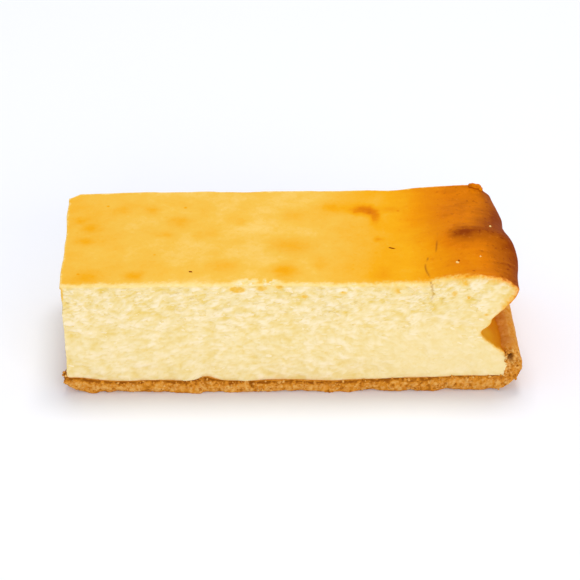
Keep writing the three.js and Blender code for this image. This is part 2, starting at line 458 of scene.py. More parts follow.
# Where the skin caught: x, y, half length, half width, strength
SCORCHES = [
    (20.2, 13.8, 2.8, 2.0, 0.4),
    (22.6, 12.2, 1.4, 2.0, 0.26),
    (23.2, 9.4, 1.0, 2.6, 0.24),
    (27.8, 13.4, 2.6, 1.2, 0.12),
    (23.5, -1.3, 1.2, 0.9, 0.2),
    (39.1, -22.2, 0.5, 0.6, 0.25),
    (45.2, -3.3, 5.2, 2.8, 0.2),
    (44.8, -3.6, 3.2, 2.4, 0.08),
    (46.0, -7.0, 5.8, 3.8, 0.12),
    (51.5, 2.0, 4.0, 3.4, 0.08),
]
# Yellow bits of skin that the knife dragged down the front cut: x, z, half length, half height, strength
YELLOW_PATCHES = [
    (-14.4, 31.6, 2.3, 1.0, 0.9),
    (-7.8, 31.9, 1.5, 0.9, 0.8),
    (-3.2, 32.3, 1.0, 0.7, 0.8),
    (3.2, 29.4, 1.2, 0.8, 0.8),
    (13.2, 31.0, 1.0, 0.7, 0.6),
    (27.1, 31.3, 1.1, 1.0, 0.7),
    (41.8, 30.2, 0.9, 1.3, 0.6),
    (44.4, 33.2, 1.0, 0.9, 0.5),
    (45.5, 28.9, 0.9, 1.1, 0.6),
    (36.3, 25.6, 1.3, 0.7, 0.45),
    (30.9, 23.2, 1.2, 0.7, 0.35),
    (50.2, 23.9, 1.2, 0.6, 0.45),
    (-59.3, 30.6, 0.6, 2.2, 0.8),
    (-54.0, 30.3, 1.6, 0.6, 0.35),
    (-48.0, 29.4, 1.5, 0.5, 0.35),
    (-39.0, 25.0, 1.3, 0.5, 0.3),
]


def from_line(x, y, knots):
    """Distance from the points (x, y) to a line through the knots, and how far along it, from 0 to 1."""
    steps = 59
    line = curve(knots, np.linspace(0.0, 1.0, steps + 1))
    gaps = np.hypot(x[:, None] - line[:, 0], y[:, None] - line[:, 1])
    return gaps.min(axis=1), gaps.argmin(axis=1) / steps


def spots(x, y, places):
    """The sum of soft spots: bells of x times bells of y, each by its strength."""
    total = np.zeros_like(x)
    for middle_x, middle_y, half_length, half_width, strength in places:
        total += strength * hill(x, middle_x, half_length) * hill(y, middle_y, half_width)
    return total


def browning(x, y, z):
    """How far the skin is baked, from 0, pale gold, to 1, dark brown.

    Low and uneven on the flat top, rising towards the tin side by smooth shares of x, with streaks along
    the shoulder, freckles and scorches. The overhang under the shoulder has a level of its own, paler than
    the shoulder: partly because it browned less, partly as painted light that makes up for the shade under
    the overhang.
    """
    points = np.stack([x, y, np.zeros_like(x)], axis=1)
    patchy = grain(points, (15, 11, 9), 301) + 0.5 * grain(points, (5, 4, 9), 302)
    streaks = grain(points, (9, 0.9, 9), 303) + 0.6 * grain(points, (2.6, 0.7, 9), 304)
    beyond = 0.34 * smooth(47, 59, x) * (1 - 0.4 * smooth(4, 20, y))
    towards_tin = 0.17 * smooth(2, 30, x) + 0.29 * smooth(28, 46, x) + beyond
    far_corner = 0.1 * smooth(24, 42, x) * smooth(-5, 9, y)
    left_end = 0.06 * (1 - smooth(-58, -30, x))
    level = 0.19 + towards_tin + far_corner + left_end + 0.035 * patchy + 0.045 * streaks * smooth(22, 44, x)
    ragged = points + 0.8 * grain(points, (2.1, 1.3, 9), 305)[:, None]
    level += 0.25 * spots(ragged[:, 0], ragged[:, 1], FRECKLES) + spots(ragged[:, 0], ragged[:, 1], SCORCHES)
    # Under the overhang the level is kept low, so the skin is paler gold: partly less browning, partly
    # painted light against the overhang's shade
    under = (1 - smooth(22, 30, z)) * smooth(44, 50, x)
    beside_rim = smooth(54.0, 54.8, x) * (1 - smooth(14, 16, z))
    under_level = 0.4 + 0.16 * smooth(19, 27, z) + 0.14 * smooth(51, 54, x) + 0.08 * patchy + 0.1 * beside_rim
    return np.clip(mix(level, under_level, under), 0.0, 1.0)


FILLING_COLUMNS = 310
FILLING_ROWS = 82
FILLING_SLICES = 58


def filling_grid():
    """Block places and faces, and each place's shares u, v along and up the outline, and its depth y.

    Places crowd near every cut edge, near the top and round the crack, where the detail is finest.
    """
    crack_x = 36.5
    crack_u = PLATE_SHARE * (crack_x - FILLING_LEFT_X) / (SHOULDER_START_X - FILLING_LEFT_X)
    u = spread(
        FILLING_COLUMNS, lambda t: 1 + 1.6 * hill(t, 0, 0.012) + 1.7 * hill(t, crack_u, 0.02) + 0.2 * t
    )
    v = spread(FILLING_ROWS, lambda t: 1 + 2.2 * hill(t, 1, 0.035) + 0.6 * hill(t, 0, 0.03))
    w = spread(FILLING_SLICES, lambda t: 1 + 4.5 * hill(t, 0, 0.025) + 2.5 * hill(t, 1, 0.02))
    places, faces = block(FILLING_COLUMNS, FILLING_ROWS, FILLING_SLICES)
    i, j, k = places.T
    return places, faces, u[i], v[j], mix(FRONT_Y, BACK_Y, w[k])


def baked_outline(count):
    """Points and outward normals of the baked surface seen from the front: the top, then down the tin side.

    The normal at a point is the way to the next one, turned a quarter.
    """
    t = np.linspace(0.0, 1.0, count)
    rim_top = WALL_SHARE + 0.02
    u = np.concatenate([t, np.ones(count)])
    v = np.concatenate([np.ones(count), mix(1.0, rim_top, t)])
    x, z = filling_patch(u, v, np.zeros(2 * count))
    way_x, way_z = np.gradient(x), np.gradient(z)
    length = np.hypot(way_x, way_z)
    return np.stack([x, z], axis=1), np.stack([-way_z, way_x], axis=1) / length[:, None]


def nearest_on(line, points):
    """The number of the line's point that is nearest to each of the points.

    They are worked out in 40 parts, so that the table of distances stays small.
    """
    parts = np.array_split(points, 40)
    return np.concatenate([((part[:, None] - line) ** 2).sum(axis=2).argmin(axis=1) for part in parts])


def torn_curd(points, skin_depth):
    """The relief of torn curd, from about -1 to 1, and the pits in it.

    Flakes are longer than they are high and lean a little. Broad and fine gradient noise are added, and
    narrow gaps are cut where the distances to a cell's two nearest centres are alike.
    """
    lean = math.radians(13) * smooth(-45, 0, points[:, 0])
    along = points[:, 0] * np.cos(lean) - points[:, 2] * np.sin(lean)
    up = points[:, 0] * np.sin(lean) + points[:, 2] * np.cos(lean)
    turned = np.stack([along, points[:, 1], up], axis=1)
    turned = turned + 0.5 * grain(turned, (4, 4, 3), 201)[:, None]
    broad = grain(turned, (3.1, 3.1, 1.9), 202)
    fine = grain(turned, (1.4, 1.4, 0.85), 203)
    finest = grain(turned, (0.75, 0.75, 0.5), 205)
    near, second, tone = cells(turned, (2.5, 2.5, 1.25), 204)
    gaps = 1 - smooth(0.02, 0.2, second - near)
    pits = np.maximum(0, 0.45 - near) * (tone > 0.72) * smooth(13, 1, skin_depth)
    step = 0.55 * (tone - 0.5)
    return 0.42 * broad + 0.36 * fine + 0.2 * finest + step - 0.3 * gaps * (tone > 0.3), 1.6 * pits


def filling_body(u, v, y, flat_x, flat_z):
    """The filling's x, depth and z before its fine relief. (flat_x, flat_z) is its place in a flat patch.

    The patch is shifted by noise on its faces: the waves of the three cuts and the swell of the top,
    which fade out over a few millimetres, then by the shifts of the shoulder, the cut end and the back.
    """
    x, z = filling_patch(u, v, y)
    from_front = y - FRONT_Y
    from_back = BACK_Y - y
    clear_of_seat = smooth(0, 0.25, v)
    reach = 3.5
    depth = y - cut_waves(x, z, 11) * hill(from_front, 0, reach)
    depth += cut_waves(x, z, 21) * hill(from_back, 0, reach)
    x -= 0.6 * cut_waves(y, z, 31) * clear_of_seat * hill(x, FILLING_LEFT_X, reach)
    on_baked_top = smooth(20, CREST_X, x)
    swell = 0.3 * noise(x / 16, y / 12, 41) + 0.5 * on_baked_top * (noise(x / 7, y / 9, 43) + hill(y, -4, 5))
    z += swell * hill(v, 1, 0.12)
    x += 0.5 * clear_of_seat * noise(y / 6, z / 7, 51) * hill(u, 1, 0.035)
    x += shoulder_shift(x, y, z) + end_lean(x, v)
    z += back_lift(x, y) * v
    depth -= corner_pull(x, y)

    # At the front cut the pinch's edge is torn, and the curd's foot is smeared over the rim
    at_front = hill(from_front, 0, 1.3)
    beside_pinch = smooth(-4.5, -0.5, flat_x - np.interp(flat_z, *np.array(BAKED_SIDE).T[::-1]))
    frayed = 0.28 * noise(z / 1.9, y / 3.5, 143) + 0.22 * noise(z / 0.8, y / 2.1, 147)
    torn_edge = 0.9 * hill(z, 20.4, 1.2) + frayed * (1 - smooth(26, 29, z))
    foot = (0.5 + 0.4 * noise(z / 1.4, y / 3.1, 145)) * hill(z, 10.2, 3.0)
    x += at_front * beside_pinch * (torn_edge * smooth(12, 14, z) + foot)
    depth -= 0.45 * at_front * beside_pinch * foot
    return x, depth, z


def round_edges(points, cuts, on_skin, skin_depth, radius, way_out):
    """Moves the points near the edges between the skin and the long cuts onto a quarter circle.

    Each cut gives the distances from it, the way into the slice along Y, and which points lie on it. The
    angle on the circle goes by the distance from the edge, along the skin or down the cut.
    """
    for gap, way, on_this_cut in cuts:
        place = np.where(on_skin, -gap, skin_depth)
        near_edge = (np.abs(place) < radius) & (on_skin | on_this_cut)
        turn = np.pi / 4 * (1 - place / radius)
        inward = radius * (1 - np.cos(turn)) - np.where(on_skin, gap, 0)
        down = radius * (1 - np.sin(turn)) - np.where(on_skin, 0, skin_depth)
        points[:, 1] += way * inward * near_edge
        points[:, 0] -= way_out[:, 0] * down * near_edge
        points[:, 2] -= way_out[:, 1] * down * near_edge


def fold_ridge(x, y, wander):
    """How high the fold across the shoulder stands at (x, y) on the top, and how much browner it is.

    It is a low ridge, a bell of the distance from its line, steep behind and browner along its left half.
    """
    from_fold, along_fold = from_line(x, y + wander, FOLD_LINE)
    fold_x, fold_y = np.array(FOLD_LINE).T
    behind = y > np.interp(x, fold_x, fold_y)
    ridge = np.where(behind, hill(from_fold, 0, 1.7), hill(from_fold, 0, 2.8)) * smooth(0, 0.25, along_fold)
    browner = 0.1 * ridge * smooth(0.02, 0.2, along_fold) * (1 - 0.8 * smooth(0.35, 0.65, along_fold))
    return 0.16 * ridge, browner


def crack_groove(x, y):
    """How deep the cracks are at (x, y) on the top, and how much of their brown line shows, up to 1: browned
    skin at their edges and painted shade in the narrow gap.

    Each is a narrow bell of the distance from its line, broken by noise, and the first one fades towards
    its ends by a sine.
    """
    groove = np.zeros(len(x))
    split = np.zeros(len(x))
    for knots in CRACK_LINES:
        from_crack, along_crack = from_line(x, y, knots)
        ends = np.sin(np.pi * np.clip(0.1 + 0.9 * along_crack, 0, 1)) if knots is CRACK_LINES[0] else 1.0
        broken = smooth(-0.55, 0.1, noise(y / 1.7, 0.5, 141)) * ends
        groove += 0.06 * broken * hill(from_crack, 0, 0.3)
        split = np.maximum(split, broken * hill(from_crack, 0, 0.22))
    return groove, split


def filling_shape(cut_depth):
    """The filling's points, faces and marks.

    The marks are skin: the depth under the baked surface as a share of the skin's thickness, and more
    where it is torn; bake: how brown that surface is; tint: how far the curd under it is tinted; hollow:
    how far a spot lies below the knife's path, 0.35 being about level with it, which the material paints
    yellower in the pits as shade and paler on the ridges as highlight, and which also holds the yellow skin
    bits; torn: how rough the cut is; split: the crack, painted brown for its browned edge and for the
    shade in its narrow gap.
    """
    places, faces, u, v, y = filling_grid()
    i, j, k = places.T
    front, back, left, top, side = (k == 0), (k == k.max()), (i == 0), (j == j.max()), (i == i.max())
    from_front = y - FRONT_Y
    from_back = BACK_Y - y
    flat_x, flat_z = filling_patch(u, v, np.zeros_like(u))
    x, depth, z = filling_body(u, v, y, flat_x, flat_z)

    # The depth under the baked surface, measured on the outline of the middle slice
    line, line_normal = baked_outline(400)
    nearest = nearest_on(line, np.stack([flat_x, flat_z], axis=1))
    skin_depth = np.hypot(flat_x - line[nearest, 0], flat_z - line[nearest, 1])
    on_skin = top | side
    skin_depth[on_skin] = 0.0
    skin_depth[left & ~top] = FILLING_TOP - flat_z[left & ~top]
    uneven = 1 + 0.4 * noise(x / 2.6, (y + z) / 1.8, 137)
    under = (1 - smooth(25, 29, flat_z)) * smooth(40, 50, flat_x)
    thickness = (1.3 + 1.6 * smooth(12, 26, flat_x) - 0.7 * smooth(42, 50, flat_x) - 1.1 * under) * uneven
    rind = 1.0 + 0.9 * smooth(44, 56, flat_x)
    tint = (0.06 + 0.2 * smooth(30, 50, flat_x)) * np.exp(-((skin_depth / rind) ** 1.5))
    tint = np.maximum(tint, 0.22 * hill(z - seat_z(x, y), 0, 0.8))

    # The knife rounds the edge between skin and cut by 0.2 to 1 mm
    radius = (0.5 + 0.2 * noise(x / 4.3, y / 4.3, 61) + 0.35 * hill(x, 27, 7)) * (1 - 0.5 * under)
    points = np.stack([x, depth, z], axis=1)
    cuts = ((from_front, 1, front), (from_back, -1, back))
    round_edges(points, cuts, on_skin, skin_depth, radius, line_normal[nearest])

    # The skin hangs a little over the cut end
    below_top = np.where(left | top, FILLING_TOP - flat_z, np.inf)
    lip = hill(flat_x, FILLING_LEFT_X, 1.0) * (1 - smooth(0.5, 1.7, below_top))
    points[:, 0] -= lip * (0.2 + 0.25 * noise(y / 3.2, 0.5, 97))

    # Where the knife dragged the skin's edge, it is thin and pale, and torn in places
    broad_fringe = smooth(14, 24, x) * (1 - smooth(40, 47, x)) + hill(x, -34, 14)
    fringe_width = 2.6 + 0.8 * noise(x / 4.1, 0.5, 131) + 0.9 * broad_fringe - 1.2 * smooth(44, 50, x)
    ragged = grain(points, (1.9, 1.3, 2.0), 133)
    fringe = 1 - smooth(0.0, 1.0, (from_front + 0.5 * ragged) / np.maximum(fringe_width, 0.3))
    back_fringe = 1 - smooth(0.0, 1.0, (from_back + 0.5 * ragged) / 1.2)
    left_fringe = 0.7 * (1 - smooth(0.0, 1.0, (flat_x - FILLING_LEFT_X + 0.4 * ragged) / 0.7))
    torn_skin = np.maximum(np.maximum(fringe, back_fringe), left_fringe)
    torn = np.where(on_skin, torn_skin, np.where(left, 0.7, 1.0))
    skin = skin_depth / thickness + 0.75 * torn * (1 - 0.5 * smooth(38, 46, x))
    notches = np.maximum(hill(x, -11.4, 2.4), hill(x, -6.1, 1.9)) * (1 - smooth(1.5, 4.0, from_front))
    skin += 2.2 * notches * smooth(-0.4, 0.3, noise(x / 0.9, y / 1.3, 139)) * top
    patches = spots(flat_x, flat_z, YELLOW_PATCHES) * front
    skin = mix(skin, 0.3, np.clip(patches * (2.2 + 0.8 * ragged), 0, 1))

    brown_x, brown_z = line[nearest].T
    brown_x, brown_z = np.where(left, flat_x, brown_x), np.where(left, FILLING_TOP, brown_z)
    bake = mix(browning(brown_x, y, brown_z), 0.24, np.clip(2 * patches, 0, 1))

    wander = 0.9 * grain(points, (2.4, 1.6, 9), 134)
    ridge, browner = fold_ridge(x[top], y[top], wander[top])
    points[top, 2] += ridge
    bake[top] += browner

    # The crack in the top runs a little way down the front cut, as a faint groove and a brown line painted on
    # the curd as the shade in the crack
    groove, split_top = crack_groove(x[top], y[top])
    points[top, 2] -= groove
    split = np.zeros(len(x))
    split[top] = split_top
    down_x = 36.1 + 0.25 * np.sin(flat_z * 1.5)
    down_cut = hill(flat_x, down_x, 0.26) * smooth(27.6, 29.5, flat_z) * front
    points[:, 1] += 0.04 * down_cut
    split += 0.4 * down_cut * ~top

    # Relief along the normals: torn curd on the cuts, fine dimples on the skin
    normals = outward(points, faces)
    on_cut = smooth(0.0, 0.8, skin_depth) * ~on_skin
    low = 1 - smooth(0.35, 0.9, v)
    calm = 1 - 0.3 * smooth(8, 40, flat_x) * low - 0.42 * low
    relief, pits = torn_curd(points, skin_depth)
    flattened = np.minimum(relief, 0.4) - pits - 0.5 * patches
    dimples = grain(points, (2.6, 1.8, 2.2), 211) + 0.5 * grain(points, (1.0, 0.8, 1.0), 212)
    lift = cut_depth * calm * on_cut * flattened + 0.03 * (1 - on_cut) * dimples
    buried = (j == 0) | ((i == i.max()) & (v < WALL_SHARE))
    points += normals * (lift * ~buried)[:, None]
    points[:, 0] -= END_SKEW * points[:, 1]
    marks = {
        "skin": skin,
        "bake": np.clip(bake, 0, 1),
        "tint": tint,
        # hollow is painted into the curd's colour: yellower shade in the pits, paler highlight on the ridges
        "hollow": 0.35 + calm * (np.clip(-relief + pits, -0.5, 1.0) - 0.23) + 0.4 * patches,
        "torn": calm,
        "split": np.clip(split, 0, 1),
    }
    return points, [faces], marks


# The base's shape

RIM_OUTSIDE = [
    (50.6, 0),
    (54.8, 0.9),
    (57.4, 2.6),
    (59.5, 4.7),
    (RIM_OUTER_X + 0.4, 7.3),
    (60.1, 9.8),
    (59.2, RIM_HEIGHT - 0.7),
]
RIM_STEPS = 43
SEAT_SHARE = SEAT_STEPS / BASE_STEPS  # share of the base's columns that lie under the filling
RIM_SHARE = RIM_STEPS / BASE_STEPS  # past this share the outside sweeps up as the rim
INSIDE_WALL_SHARE = 0.75  # share of the rim's columns that climb its inner wall, before the rounded crest
CREST_RADIUS = 1.6
BASE_COLUMNS = 372
BASE_ROWS = 13
BASE_SLICES = 98


def base_inside(u, y):
    """(x, z) along the seat, up the rim's inner wall and over its rounded crest, u from 0 to 1.

    Behind the front cut the crest leans over until it touches the curd.
    """
    second_x = mix(FILLING_LEFT_X, SHOULDER_START_X, 1 / PLATE_STEPS)
    last_x = mix(SHOULDER_START_X, FILLING_FOOT_X, 0.9)
    knots = np.array([0, 1, PLATE_STEPS, SEAT_STEPS - 1, SEAT_STEPS]) / BASE_STEPS
    x = np.interp(u, knots, [LEFT_CUT_X, second_x, SHOULDER_START_X, last_x, RIM_INNER_X])
    z = seat_z(x, y)
    share = np.clip((u - SEAT_SHARE) / (1 - SEAT_SHARE), 0.0, 1.0)
    climb = np.clip(share / INSIDE_WALL_SHARE, 0.0, 1.0)
    turn = np.clip((share - INSIDE_WALL_SHARE) / (1 - INSIDE_WALL_SHARE), 0.0, 1.0) * np.pi / 2
    on_wall = share > 0
    wall_z = mix(z, RIM_HEIGHT - CREST_RADIUS, climb) + CREST_RADIUS * np.sin(turn)
    lean = 1.4 * hill(turn, 0.6, 0.55) * smooth(0.0, 0.2, turn) * smooth(FRONT_Y, FRONT_Y + 2.5, y)
    crest_x = RIM_INNER_X + 1.7 * (1 - np.cos(turn)) - lean
    return np.where(on_wall, crest_x, x), np.where(on_wall, wall_z, z)


def base_outside(u):
    """(x, z) along the underside, whose cut end curls up, then round the fillet and up the rim."""
    second_x = mix(FILLING_LEFT_X, SHOULDER_START_X, 1 / PLATE_STEPS)
    third_last_x = mix(SHOULDER_START_X, FILLING_FOOT_X, 0.7)
    knots = np.array([0, 1, PLATE_STEPS, RIM_STEPS]) / BASE_STEPS
    x = np.interp(u, knots, [LEFT_CUT_X, second_x, SHOULDER_START_X, third_last_x])
    z = CURL_RISE * np.maximum(0, 1 - (x - LEFT_CUT_X) / CURL_LENGTH) ** 2
    rim = curve(RIM_OUTSIDE, (u - RIM_SHARE) / (1 - RIM_SHARE))
    on_rim = u > RIM_SHARE
    return np.where(on_rim, rim[:, 0], x), np.where(on_rim, rim[:, 1], z)


def base_shape(crumb_size, crumb_depth):
    """The base's points, faces and marks.

    The marks are hollow: how deep a spot lies between the crumbs, which the material paints darker as
    shade in the hollows and paler as highlight on the tops; tone: each crumb's own lightness; broken: 1
    on a cut, and on the smoother baked outside 0.2 to 0.95, most beside the cuts; seat: closeness to the
    filling, where the crust is darker; scorch: burnt spots, and the hole at the rim, painted dark partly
    as the shade in its cavity.
    """
    places, faces = block(BASE_COLUMNS, BASE_ROWS, BASE_SLICES)
    i, j, k = places.T
    u = spread(BASE_COLUMNS, lambda t: 1 + 1.2 * hill(t, 0, 0.012))[i]
    v = j / BASE_ROWS
    w = spread(BASE_SLICES, lambda t: 1 + 3.0 * hill(t, 0, 0.03) + 3.0 * hill(t, 1, 0.03))[k]
    y = mix(FRONT_Y, BACK_Y, w)
    inside_x, inside_z = base_inside(u, y)
    outside_x, outside_z = base_outside(u)
    x = mix(outside_x, inside_x, v)
    z = mix(outside_z, inside_z, v)
    depth = y.copy()
    front, back, left = (k == 0), (k == k.max()), (i == 0)

    # The long cuts are uneven, bulge where the knife squeezed them, and are chipped along their lower edge
    for way, cut_y, seed in ((-1, FRONT_Y, 61), (1, BACK_Y, 76)):
        near_cut = hill(y, cut_y, 0.9)
        squeezed = 0.4 * hill(x, -5, 38) * (1 - 0.6 * v)
        depth += way * (0.4 * noise(x / 3.1, z / 1.9, seed) + 0.2 + squeezed) * near_cut
        chip = np.maximum(0, noise(x / 6, 0.5, seed + 10))
        chip += 0.6 * np.maximum(0, noise(x / 2.1, 0.5, seed + 11))
        low_edge = 1 - smooth(0.0, 0.45, v)
        depth -= way * 0.8 * chip * near_cut * low_edge
        z += 0.35 * chip * near_cut * low_edge * (u < SEAT_SHARE)

    # At the cut end it reaches past the filling in front, and lies flush with it further back
    flush = 0.6 * smooth(FRONT_Y, FRONT_Y + 5, y)
    x += (flush - 0.4 * noise(y / 3.3, z / 2, 81)) * hill(x, LEFT_CUT_X, 0.9)

    # The rim's crest goes up and down along its length, and a thin lip stands up at the cut end
    crest = smooth(0.93, 1.0, u)
    z += crest * (0.5 * noise(y / 5.5, 0.5, 91) + 0.25 * noise(y / 1.7, 0.5, 93))
    lip = hill(x, LEFT_CUT_X, 0.9) * smooth(0.6, 1, v) * (0.2 + 0.8 * hill(y, FRONT_Y, 3))
    z += 1.7 * lip * (0.8 + 0.2 * noise(y / 7, 0.5, 95))
    depth -= corner_pull(x, y)

    # The hole between filling and rim, at the front cut, pushed in and painted dark through the scorch mark:
    # partly a burnt spot, partly painted shade in the cavity
    points = np.stack([x, depth, z], axis=1)
    hole = hill(x, 57.1, 0.7) * hill(z, 10.5, 1.2) * hill(y, FRONT_Y, 0.8)
    points[:, 1] += 1.7 * hole

    # Relief along the normals: crumbs of two sizes on coarse lumps, strongest on the cuts
    normals = outward(points, faces)
    warp = 0.35 * grain(points, 2.2, 401)[:, None]
    near, _, tone = cells(points + warp, crumb_size, 402)
    fine_near, _, fine_tone = cells(points + warp, crumb_size * 0.5, 403)
    coarse = grain(points, (3.4, 3.4, 2.2), 404)
    crumbs = 0.55 - near + 0.4 * (0.5 - fine_near)
    on_cut = front | back | left
    edge = hill(np.minimum(y - FRONT_Y, BACK_Y - y), 0, 1.2)
    under_curd = (v == 1) & (u < SEAT_SHARE + 0.09) & (x > FILLING_LEFT_X)
    rim = smooth(0.5, 0.75, u)
    strength = np.where(on_cut, 1.0, 0.03 + 0.3 * rim + 0.5 * edge) * ~under_curd
    lift = crumb_depth * strength * (1.3 * crumbs + 0.5 * coarse)
    underside = (j == 0) & (u < RIM_SHARE)
    lift = np.where(underside, -np.abs(lift), lift)
    points += normals * lift[:, None]
    points[:, 2] = np.maximum(points[:, 2], 0.0)
    points[:, 0] -= END_SKEW * points[:, 1]
    from_seat = inside_z - z
    broken = np.where(on_cut, 1.0, 0.2 + 0.25 * rim + 0.5 * edge)
    pale_foot = 0.12 * hill(z, 1.5, 1.0) * (1 - smooth(-10, 25, x)) * on_cut + 0.09 * smooth(15, 52, x)
    mottle = 0.13 * (2 * tone - 1) + 0.09 * (2 * fine_tone - 1)
    marks = {
        # The crumbs' hollow becomes painted shade in the material, and its negative the painted highlight on
        # the tops
        "hollow": np.clip(-crumbs * strength, -1, 1),
        "tone": broken * mottle + 0.5 * (1 - broken) + pale_foot,
        "broken": broken,
        "seat": smooth(1.3, 0.1, from_seat) * (u < SEAT_SHARE) * on_cut,
        # The hole's scorch is partly a burnt spot, partly painted shade in its cavity
        "scorch": np.clip(hole + 0.8 * lip * hill(x, LEFT_CUT_X - 0.4, 0.8), 0, 1),
    }
    return points, [faces], marks


# Crumbs and flakes

def lumps(centres, sizes, turned, draw, around, up):
    """Many small closed lumps as one mesh: its points, its faces and the number of points in each lump.

    Each is a ball on a grid of turn and height, its radius 1 plus three random sine waves. It is
    stretched to its own three sizes along its own three axes. The two poles are single points.
    """
    count = len(centres)
    turn = np.arange(around) * 2 * np.pi / around
    tilt = np.arange(1, up)[:, None] * np.pi / up
    phase = draw.uniform(0, 2 * np.pi, (3, count, 1, 1))
    radius = (
        1
        + 0.2 * np.sin(2 * turn + phase[0]) * np.sin(tilt)
        + 0.16 * np.sin(3 * turn + 2 * tilt + phase[1]) * np.sin(tilt)
        + 0.14 * np.sin(3 * tilt + phase[2])
    )
    body = np.stack([
        radius * np.sin(tilt) * np.cos(turn),
        radius * np.sin(tilt) * np.sin(turn),
        radius * np.cos(tilt),
    ], axis=-1).reshape(count, -1, 3)
    poles = np.broadcast_to([[0.0, 0.0, 1.0], [0.0, 0.0, -1.0]], (count, 2, 3))
    local = np.concatenate([body, poles], axis=1) * sizes[:, None, :]
    points = np.einsum("nij,nvj->nvi", turned, local) + centres[:, None, :]

    number = np.arange(around * (up - 1)).reshape(up - 1, around)
    ahead = np.roll(number, -1, axis=1)
    north = np.full(around, around * (up - 1))
    belts = np.stack([number[:-1], number[1:], ahead[1:], ahead[:-1]], axis=-1).reshape(-1, 4)
    caps = np.concatenate([
        np.stack([north, number[0], ahead[0]], axis=1),
        np.stack([north + 1, ahead[-1], number[-1]], axis=1),
    ])
    per_lump = local.shape[1]
    start = np.arange(count)[:, None, None] * per_lump
    faces = [(belts + start).reshape(-1, 4), (caps + start).reshape(-1, 3)]
    return points.reshape(-1, 3), faces, per_lump


def surface_of(name):
    """A piece's points in the bar's own millimetres, and the unit normals there."""
    mesh = bpy.data.objects[name].data
    points = np.zeros(len(mesh.vertices) * 3)
    mesh.vertices.foreach_get("co", points)
    normals = np.zeros(len(mesh.vertices) * 3)
    mesh.vertex_normals.foreach_get("vector", normals)
    return points.reshape(-1, 3) / MM - MIDDLE, normals.reshape(-1, 3)


def on_surface(points, normals, places, looking):
    """The surface point and normal nearest to each place, among those that face the given way."""
    least_facing = 0.3
    facing = np.flatnonzero(normals @ np.asarray(looking, float) > least_facing)
    gaps = np.linalg.norm(points[facing] - np.asarray(places, float)[:, None], axis=2)
    found = facing[gaps.argmin(axis=1)]
    return points[found], normals[found]


def lying_axes(normals, spin):
    """Three axes for each lump: along the surface and level, up the surface, and out of it.

    The first two are turned in the surface by the angle spin.
    """
    level = np.cross([0.0, 0.0, 1.0], normals)
    nearly_level_surface = np.linalg.norm(level, axis=1) < 0.3
    level[nearly_level_surface] = [1.0, 0.0, 0.0]
    level -= normals * (level * normals).sum(axis=1)[:, None]
    level /= np.linalg.norm(level, axis=1)[:, None]
    rising = np.cross(normals, level)
    cos, sin = np.cos(spin)[:, None], np.sin(spin)[:, None]
    return np.stack([level * cos + rising * sin, rising * cos - level * sin, normals], axis=2)


# Bits that lie on the skin: x, y, half length, half width, half height, how brown, from 0 to 1. The last
# three make up one lump at the shoulder's back corner.
SKIN_BITS = [
    (53.3, 1.8, 0.42, 0.36, 0.25, 0.01),
    (43.0, -16.2, 0.45, 0.4, 0.3, 0.01),
    (43.4, -15.3, 0.28, 0.26, 0.2, 0.95),
    (49.3, -14.1, 0.25, 0.25, 0.2, 0.05),
    (26.8, -5.9, 0.95, 0.28, 0.2, 1.0),
    (-26.0, -17.2, 0.5, 0.28, 0.18, 1.0),
    (51.6, 23.5, 1.5, 1.0, 1.15, 0.72),
    (50.2, 23.9, 0.9, 0.7, 0.8, 0.8),
    (52.9, 23.0, 0.8, 0.7, 0.8, 0.64),
]
# Clumps of curd that the knife left on the front edge: x, half length, half height
EDGE_CLUMPS = [
    (-13.6, 1.0, 0.4),
    (-12.7, 0.7, 0.45),
    (-10.4, 0.8, 0.5),
    (-9.7, 0.5, 0.35),
    (-6.6, 0.9, 0.45),
    (-5.7, 0.6, 0.3),
    (4.0, 0.8, 0.3),
    (16.5, 0.7, 0.3),
]


